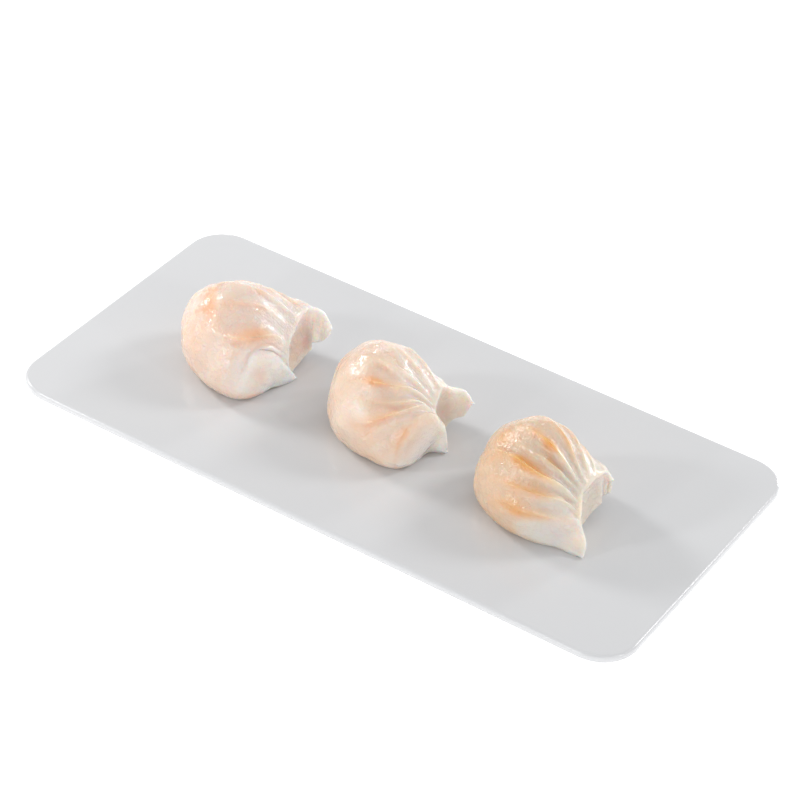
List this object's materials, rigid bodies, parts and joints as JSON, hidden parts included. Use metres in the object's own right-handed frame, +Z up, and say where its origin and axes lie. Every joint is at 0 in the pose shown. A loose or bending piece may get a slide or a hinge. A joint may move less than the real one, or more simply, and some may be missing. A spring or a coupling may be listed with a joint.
{
  "type": "har gow dumplings on a plate",
  "caption": "Steamed crescent dumplings with thin, translucent pleated wrappers and pinched ears, in a row on a flat rectangular glazed plate with rounded corners.",
  "frame": {"origin": "middle of the plate's underside", "axes": "+X along the plate's long side, towards the side that the dumplings' mouths look to, +Y along its short side, +Z up"},
  "size_m": [0.245, 0.119, 0.0369],
  "materials": {
    "glaze": "white glaze, glossy, faintly bluish",
    "wrapper": "moist translucent starch dough over a peach filling, wet gloss"
  },
  "bodies": {
    "root": {"plate": "glaze", "dumpling_left": "wrapper", "dumpling_middle": "wrapper", "dumpling_right": "wrapper"}
  },
  "joints": []
}
